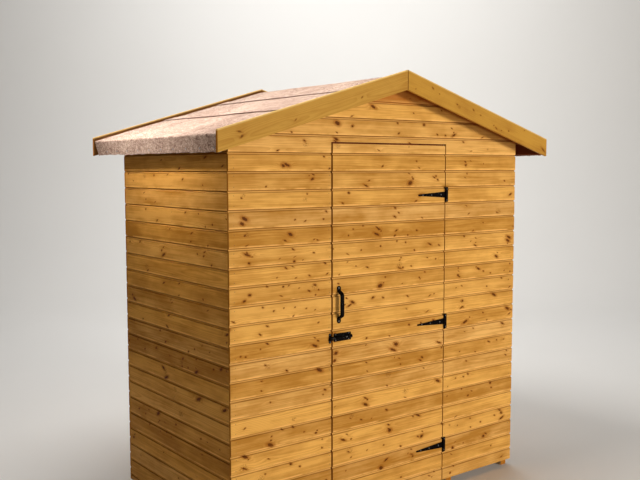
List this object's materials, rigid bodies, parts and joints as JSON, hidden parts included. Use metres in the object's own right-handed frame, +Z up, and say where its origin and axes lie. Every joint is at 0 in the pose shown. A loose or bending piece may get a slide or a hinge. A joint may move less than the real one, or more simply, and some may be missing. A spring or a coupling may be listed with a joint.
{
  "type": "garden shed",
  "caption": "Small apex-roofed wooden garden shed in horizontal boards, with a felted roof and a ledged front door that swings on tee hinges.",
  "frame": {"origin": "on the ground, under the middle of the shed's overall box", "axes": "+Z up, -Y out of the door side, +X to the right as seen from the front"},
  "size_m": [2.066, 1.25, 2.1219],
  "materials": {
    "wall_boards": "satin",
    "barge_wood": "satin",
    "frame_wood": "satin",
    "plain_wood": "satin",
    "roofing_felt": "mineral grit",
    "black_metal": "satin black",
    "bolt_metal": "satin black"
  },
  "bodies": {
    "shed": {"floor_bearers": "plain_wood", "floor_deck": "plain_wood", "left_wall": "wall_boards", "right_wall": "wall_boards", "back_wall": "wall_boards", "front_wall_left": "wall_boards", "front_wall_right": "wall_boards", "front_gable": "wall_boards", "side_wall_studs": "frame_wood", "side_wall_rails": "frame_wood", "front_wall_studs": "frame_wood", "front_wall_rails": "frame_wood", "back_wall_studs": "frame_wood", "back_wall_rails": "frame_wood", "gable_rails": "frame_wood", "king_posts": "frame_wood", "ridge_beam": "frame_wood", "purlins": "frame_wood", "left_roof_deck": "plain_wood", "right_roof_deck": "plain_wood", "eave_boards": "frame_wood", "rake_battens": "frame_wood", "front_left_barge_board": "barge_wood", "front_right_barge_board": "barge_wood", "rear_left_barge_board": "barge_wood", "rear_right_barge_board": "barge_wood", "left_felt_eave": "roofing_felt", "left_felt_middle": "roofing_felt", "ridge_felt": "roofing_felt", "right_felt_middle": "roofing_felt", "right_felt_eave": "roofing_felt", "door_stops": "frame_wood", "hinge_plates": "black_metal", "hinge_pins": "bolt_metal", "bolt_keep": "black_metal"},
    "door": {"door_boards": "wall_boards", "door_ledges": "frame_wood", "door_braces": "frame_wood", "hinge_straps": "black_metal", "door_handle": "black_metal", "bolt_plate": "black_metal"},
    "bolt": {"door_bolt": "bolt_metal"}
  },
  "joints": [
    {"name": "door_swing", "type": "hinge", "parent": "shed", "child": "door", "pos_m": [0.37275, -0.5135, 0.032], "axis": [0, 0, 1], "range_deg": [0, 165]},
    {"name": "bolt_slide", "type": "slide", "parent": "door", "child": "bolt", "axis": [-1, 0, 0], "range_m": [0, 0.02]}
  ]
}
